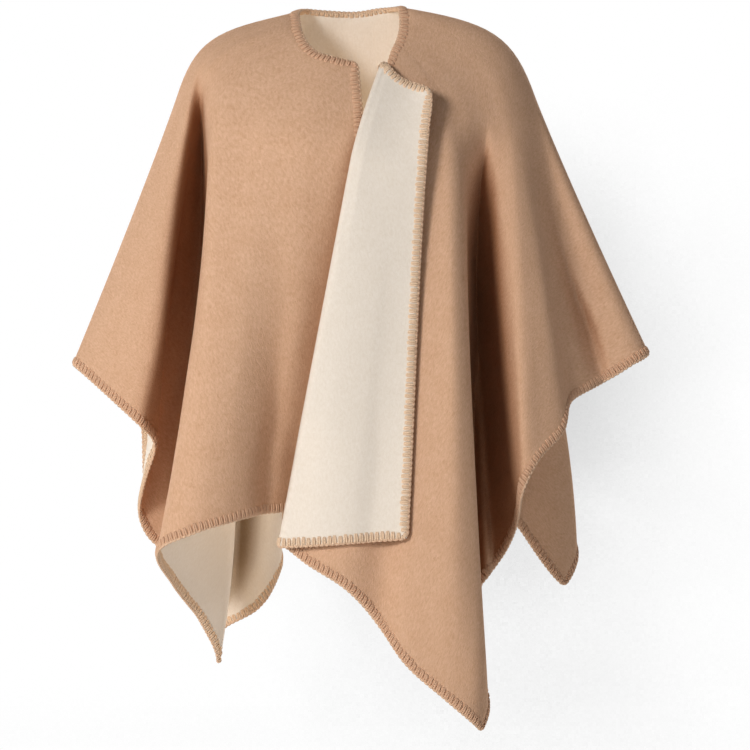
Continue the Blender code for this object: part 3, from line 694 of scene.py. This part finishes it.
def stitch_yarn(name, colour, pale):
    """Wool yarn: matt and hairy, drawn paler over the cream face as painted bounce light from the
    cream.
    """
    material, tree, shader = new_material(name)
    share = add_node(tree, "ShaderNodeAttribute", {"attribute_name": "cream_share"}).outputs["Fac"]
    # painted bounce light: towards the paler colour by the yarn's share over the cream face
    yarn_with_painted_bounce = mixed(tree, "MIX", share, (*colour, 1), (*pale, 1))
    # loose hairs and hollows between them, about 1.1 mm apart
    place = add_node(tree, "ShaderNodeTexCoord").outputs["Object"]
    hairs = noise(tree, place, Scale=900.0, Detail=2.0, Roughness=0.6)
    tone = add_node(tree, "ShaderNodeMapRange", {},
                    {"Value": hairs, "From Min": 0.3, "From Max": 0.7, "To Min": 0.82})
    wool = mixed(tree, "MULTIPLY", 1.0, yarn_with_painted_bounce, tone.outputs["Result"])
    tree.links.new(wool, shader.inputs["Base Color"])
    bump = add_node(tree, "ShaderNodeBump", {}, {"Height": hairs, "Strength": 0.5, "Distance": 0.0005})
    tree.links.new(bump.outputs["Normal"], shader.inputs["Normal"])
    shader.inputs["Roughness"].default_value = 0.9
    shader.inputs["Specular IOR Level"].default_value = 0.2
    shader.inputs["Sheen Weight"].default_value = 0.15
    shader.inputs["Sheen Tint"].default_value = (*colour, 1)
    return material


# ---------------------------------------------------------------- blanket stitch
def tube(path, radii, sides, squash=1.0, up=None):
    """Points and faces of a closed tube along a path, its section flattened towards the cloth."""
    path = np.asarray(path, float)
    ahead = unit(np.gradient(path, axis=0))
    up = unit(up - (up * ahead).sum(axis=1, keepdims=True) * ahead)
    side = np.cross(ahead, up)
    turn = np.linspace(0, 2 * math.pi, sides, endpoint=False)
    rings = [p + r * (np.cos(turn)[:, None] * s + squash * np.sin(turn)[:, None] * u)
             for p, r, s, u in zip(path, radii, side, up)]
    points = np.concatenate(rings + [path[:1], path[-1:]])
    faces, last = [], len(path) - 1
    for k in range(last):
        for s in range(sides):
            t = (s + 1) % sides
            faces.append((k * sides + s, k * sides + t,
                          (k + 1) * sides + t, (k + 1) * sides + s))
    head, tail = len(points) - 2, len(points) - 1
    for s in range(sides):
        t = (s + 1) % sides
        faces.append((head, t, s))
        faces.append((tail, last * sides + s, last * sides + t))
    return points, faces


class EdgeWalk:
    """Frames along one edge of the cloth: place, direction along, into the cloth and outward normal."""

    def __init__(self, grid, normals, line, step):
        self.points = np.array([grid[c, r] for c, r in line])
        self.into = unit(np.array([grid[c + dc, r + dr] - grid[c, r]
                                   for (c, r), (dc, dr) in zip(line, step)]))
        self.normal = np.array([normals[c, r] for c, r in line])
        self.at = walk(self.points)

    def frame(self, distance):
        def pick(values):
            return np.array([np.interp(distance, self.at, values[:, k]) for k in range(3)])

        ahead = unit(pick(unit(np.gradient(self.points, axis=0))))
        normal = unit(pick(self.normal))
        into = pick(self.into)
        into = unit(into - (into @ ahead) * ahead * STRAIGHTEN - (into @ normal) * normal)
        return pick(self.points), ahead, into, normal


def edge_lines(grid, settings):
    """Grid lines that the blanket stitch follows, each with the step into the cloth."""
    wide, tall = grid.shape[:2]
    keys, marks = walk(numbers(HEM)[:, 3:6]), stations(HEM, settings.columns)
    column = {row[0]: int(np.argmin(abs(marks - key))) for row, key in zip(HEM, keys)}
    right, back = column["right front corner"], column["right back corner"]
    left, front = column["left back corner"], column["left front corner"]
    hem_line = lambda a, b: [(c, tall - 1) for c in range(a, b + 1)]
    return {
        "neck": ([(c, 0) for c in range(wide)], (0, 2)),
        "right_slit": ([(0, r) for r in range(tall)], (2, 0)),
        "revers_edge": ([(wide - 1, r) for r in range(tall)], (-2, 0)),
        "right_front_hem": (hem_line(0, right), (0, -2)),
        "right_side_hem": (hem_line(right, back), (0, -2)),
        "back_hem": (hem_line(back, left), (0, -2)),
        "left_side_hem": (hem_line(left, front), (0, -2)),
        "left_front_hem": (hem_line(front, wide - 1), (0, -2)),
    }


def blanket_stitch(name, edge, wall, settings, material, seed, short=None):
    """Joined mesh of one edge's stitches: doubled legs over both faces, and the purl along the edge."""
    rng = np.random.default_rng(seed)
    radius = settings.yarn * 1000 / 2
    total = edge.at[-1]
    count = max(2, round(total / (settings.spacing * 1000)))
    spacing = total / count
    points, faces, shares, size = [], [], [], 0

    def add(part, pale):
        nonlocal size
        shares.append(pale)
        points.append(part[0])
        faces.extend([tuple(i + size for i in face) for face in part[1]])
        size += len(part[0])

    half = wall / 2
    profile = np.array([row[1:] for row in STITCH])
    for k in range(count):
        middle = (k + 0.5) * spacing + rng.normal(0, UNEVEN_PLACE)
        centre, ahead, into, normal = edge.frame(middle)
        room = CORNER_SHARE * min(middle, total - middle)
        bite = min(settings.bite * 1000 * rng.uniform(*UNEVEN_BITE), max(room, 2 * radius))
        inner = SHORT_LEG if short and short[0] < middle / total < short[1] else 1.0
        reach = unit(into + ahead * rng.normal(*LEAN))
        outer = np.stack([bite * profile[:, 0] - radius * profile[:, 1],
                          half * profile[:, 2] + radius * profile[:, 3],
                          profile[:, 4], profile[:, 5]], axis=1)
        under = outer[-2::-1] * (1, -1, 1, 1)
        under[:, 0] *= np.where(under[:, 0] > 0, inner, 1.0)
        sweep = np.concatenate([outer, under])
        up = np.array([unit(normal * h - into * max(0.0, 1.0 - d / TIP_OUT[0]) * TIP_OUT[1])
                       for d, h in sweep[:, :2]])
        # share of the yarn over the cream face, which gets the painted bounce light
        pale = np.clip(0.5 - sweep[:, 1] / wall, 0, 1)
        for strand in (-1, 1):
            path = (centre + reach * sweep[:, :1] + normal * sweep[:, 1:2]
                    + ahead * sweep[:, 2:3] * strand * radius)
            add(tube(path, radius * sweep[:, 3], YARN_SIDES, YARN_SQUASH, up),
                np.append(np.repeat(pale, YARN_SIDES), pale[[0, -1]]))
        if k < count - 1:
            nxt, _, into2, normal2 = edge.frame((k + 1.5) * spacing)
            steps = np.linspace(-PURL_OVERLAP, 1 + PURL_OVERLAP, len(PURL))
            lift = np.sin(np.clip(steps, 0, 1) * math.pi)
            line = [(1 - s) * centre + s * nxt
                    - unit(into + into2) * (radius * (PURL_OUT[0] + PURL_OUT[1] * l))
                    + unit(normal + normal2) * radius * PURL_SLANT * (0.5 - s)
                    for s, l in zip(steps, lift)]
            ups = np.repeat(normal[None], len(PURL), axis=0)
            purl = tube(line, radius * np.array(PURL), YARN_SIDES, 1.0, ups)
            add(purl, np.full(len(purl[0]), 0.5))
    made = new_object(name, np.concatenate(points) * MM, faces, [material])
    share = made.data.attributes.new("cream_share", "FLOAT", "POINT")
    share.data.foreach_set("value", np.concatenate(shares))
    return made


# ---------------------------------------------------------------- operators
class PONCHO_OT_cloth(bpy.types.Operator):
    """Build the one continuous sheet of double-faced cloth, turned back at the left front."""
    bl_idname = "poncho.cloth"
    bl_label = "Cloth"

    def execute(self, context):
        settings = context.scene.poncho_cloth
        grid, normals, cut = poncho_surface(settings)
        points, faces, sides, rim = cloth_shell(grid, normals, settings.wall * 1000)
        flat = cut.reshape(-1, 2) * MM
        uv = np.concatenate([flat, flat, flat[rim]])
        outer = brushed_wool("camel_wool_brushed", settings.outer, linear(CAMEL_DARK), CAMEL_PAINTED_FOLD_SHADE,
                             sheen=0.2, depth=0.8)
        inner = brushed_wool("cream_wool_brushed", settings.inner, linear(CREAM_DARK), CREAM_PAINTED_FOLD_SHADE,
                             sheen=0.12, depth=0.22)
        cloth = new_object("poncho_cloth", points * MM, faces, [outer, inner],
                           indices=sides, uv=uv)
        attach(cloth, "root")
        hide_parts("right_front", "back", "left_front", "left_revers")
        return {"FINISHED"}


class PONCHO_OT_blanket_stitch(bpy.types.Operator):
    """Sew the blanket stitch round the neck, the slit and the hem."""
    bl_idname = "poncho.blanket_stitch"
    bl_label = "Blanket stitch"

    def execute(self, context):
        cloth, stitch = context.scene.poncho_cloth, context.scene.poncho_stitch
        grid, normals, _ = poncho_surface(cloth)
        yarn = stitch_yarn("camel_wool_yarn", stitch.colour, stitch.pale)
        made = []
        for seed, (name, (line, step)) in enumerate(edge_lines(grid, cloth).items()):
            edge = EdgeWalk(grid, normals, line, [step] * len(line))
            short = SHORT_NECK if name == "neck" else None
            made.append(blanket_stitch("stitch_" + name, edge, cloth.wall * 1000, stitch, yarn,
                                       seed, short))
        for piece in made:
            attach(piece, "root")
        return {"FINISHED"}


class PONCHO_OT_stage(bpy.types.Operator):
    """Set the pale floor and backdrop, the soft lamps and the camera."""
    bl_idname = "poncho.stage"
    bl_label = "Stage"

    def execute(self, context):
        scene, settings = context.scene, context.scene.poncho_stage
        camera = bpy.data.objects.new("camera", bpy.data.cameras.new("camera"))
        scene.collection.objects.link(camera)
        camera.location = (CAMERA_ASIDE, -settings.distance, settings.height)
        camera.rotation_euler = (math.pi / 2, 0, 0)
        camera.data.sensor_width = 36.0
        camera.data.lens = camera.data.sensor_width * settings.distance / settings.span
        scene.camera = camera
        backdrop(settings.floor)
        for row in LAMPS:
            lamp(*row)
        world = bpy.data.worlds.new("studio_air")
        world.use_nodes = True
        tree = world.node_tree
        sky = tree.nodes["Background"]
        sky.inputs["Color"].default_value = (1, 1, 1, 1)
        strength = add_node(tree, "ShaderNodeMapRange", {},
                            {"Value": seen_directly(tree), "To Min": AIR_LIGHT, "To Max": 1.0})
        tree.links.new(strength.outputs["Result"], sky.inputs["Strength"])
        scene.world = world
        scene.view_settings.view_transform = "Standard"
        return {"FINISHED"}


def lamp(name, kind, place, target, size, power, colour):
    light = bpy.data.lights.new(name, kind)
    light.color, light.energy = colour, power
    if kind == "AREA":
        light.shape, light.size = "DISK", size
    else:
        light.shadow_soft_size = size
    made = bpy.data.objects.new(name, light)
    bpy.context.scene.collection.objects.link(made)
    made.location, made.visible_camera = place, False
    made.rotation_euler = (Vector(target) - Vector(place)).to_track_quat("-Z", "Y").to_euler()
    return made


def seen_directly(tree):
    """Socket that is 1 for rays from the camera and for what gloss and glass show, else 0."""
    path = add_node(tree, "ShaderNodeLightPath")
    seen = path.outputs["Is Camera Ray"]
    for ray in ("Is Glossy Ray", "Is Transmission Ray"):
        seen = math_node(tree, "MAXIMUM", seen, path.outputs[ray])
    return seen


def backdrop(level):
    """White sweep of paper behind and under the poncho, with the poncho's soft shadow painted on where
    it is seen directly.
    """
    wall_y, curve, half, front, top = 0.33, 0.3, 5.0, -6.0, 4.0
    profile = [(front, level), (wall_y - curve, level)]
    profile += [(wall_y - curve + curve * math.sin(t), level + curve - curve * math.cos(t))
                for t in np.linspace(0, math.pi / 2, 17)[1:]]
    profile.append((wall_y, top))
    points = [(x, y, z) for y, z in profile for x in (-half, half)]
    faces = [(2 * k, 2 * k + 1, 2 * k + 3, 2 * k + 2) for k in range(len(profile) - 1)]
    material, tree, shader = new_material("white_paper")
    shader.inputs["Base Color"].default_value = (0.85, 0.85, 0.85, 1)
    shader.inputs["Roughness"].default_value = 1.0
    shader.inputs["Specular IOR Level"].default_value = 0.0
    # seen directly, the paper glows white with a painted shadow: an AO node leaned towards the key
    # darkens it only where the cloth is close by
    key_side = add_node(tree, "ShaderNodeCombineXYZ", {}, {"X": -0.90, "Y": -0.40, "Z": 0.0})
    ao_for_painted_shade = add_node(tree, "ShaderNodeAmbientOcclusion", {"samples": 16},
                      {"Normal": key_side.outputs["Vector"], "Distance": 0.70})
    white = add_node(tree, "ShaderNodeMapRange", {},
                     {"Value": ao_for_painted_shade.outputs["AO"], "From Min": 0.57, "From Max": 0.668,
                      "To Min": 0.66, "To Max": 1.0})
    glow = add_node(tree, "ShaderNodeEmission", {}, {"Strength": white.outputs["Result"]})
    paper = add_node(tree, "ShaderNodeMixShader", {},
                     {0: seen_directly(tree), 1: shader.outputs["BSDF"], 2: glow.outputs["Emission"]})
    # the sweep is clear from behind and to light, so the poncho is seen and lit from all sides
    behind = add_node(tree, "ShaderNodeNewGeometry").outputs["Backfacing"]
    shadow = add_node(tree, "ShaderNodeLightPath").outputs["Is Shadow Ray"]
    clear = math_node(tree, "MAXIMUM", behind, shadow)
    glass = add_node(tree, "ShaderNodeBsdfTransparent").outputs["BSDF"]
    surface = add_node(tree, "ShaderNodeMixShader", {},
                       {0: clear, 1: paper.outputs["Shader"], 2: glass})
    tree.links.new(surface.outputs["Shader"], tree.nodes["Material Output"].inputs["Surface"])
    sweep = new_object("paper_sweep", points, faces, [material])


class PONCHO_PT_panel(bpy.types.Panel):
    """Sizes, colours and steps of the poncho."""
    bl_idname = "PONCHO_PT_panel"
    bl_label = "Poncho"
    bl_space_type = "VIEW_3D"
    bl_region_type = "UI"
    bl_category = "Poncho"

    def draw(self, context):
        for group, operator in ((context.scene.poncho_cloth, PONCHO_OT_cloth),
                                (context.scene.poncho_stitch, PONCHO_OT_blanket_stitch),
                                (context.scene.poncho_stage, PONCHO_OT_stage)):
            box = self.layout.box()
            for name in group.__annotations__:
                box.prop(group, name)
            box.operator(operator.bl_idname)


GROUPS = {"poncho_cloth": PonchoClothSettings, "poncho_stitch": PonchoStitchSettings,
          "poncho_stage": PonchoStageSettings}
OPERATORS = (PONCHO_OT_cloth, PONCHO_OT_blanket_stitch, PONCHO_OT_stage)


def register():
    for group in (*GROUPS.values(), *OPERATORS, PONCHO_PT_panel):
        bpy.utils.register_class(group)
    for name, group in GROUPS.items():
        setattr(bpy.types.Scene, name, PointerProperty(type=group))


def unregister():
    for name in GROUPS:
        delattr(bpy.types.Scene, name)
    for group in reversed((*GROUPS.values(), *OPERATORS, PONCHO_PT_panel)):
        bpy.utils.unregister_class(group)


def main():
    register()
    bpy.ops.poncho.cloth()
    bpy.ops.poncho.blanket_stitch()
    bpy.ops.poncho.stage()


if __name__ == "__main__":
    main()
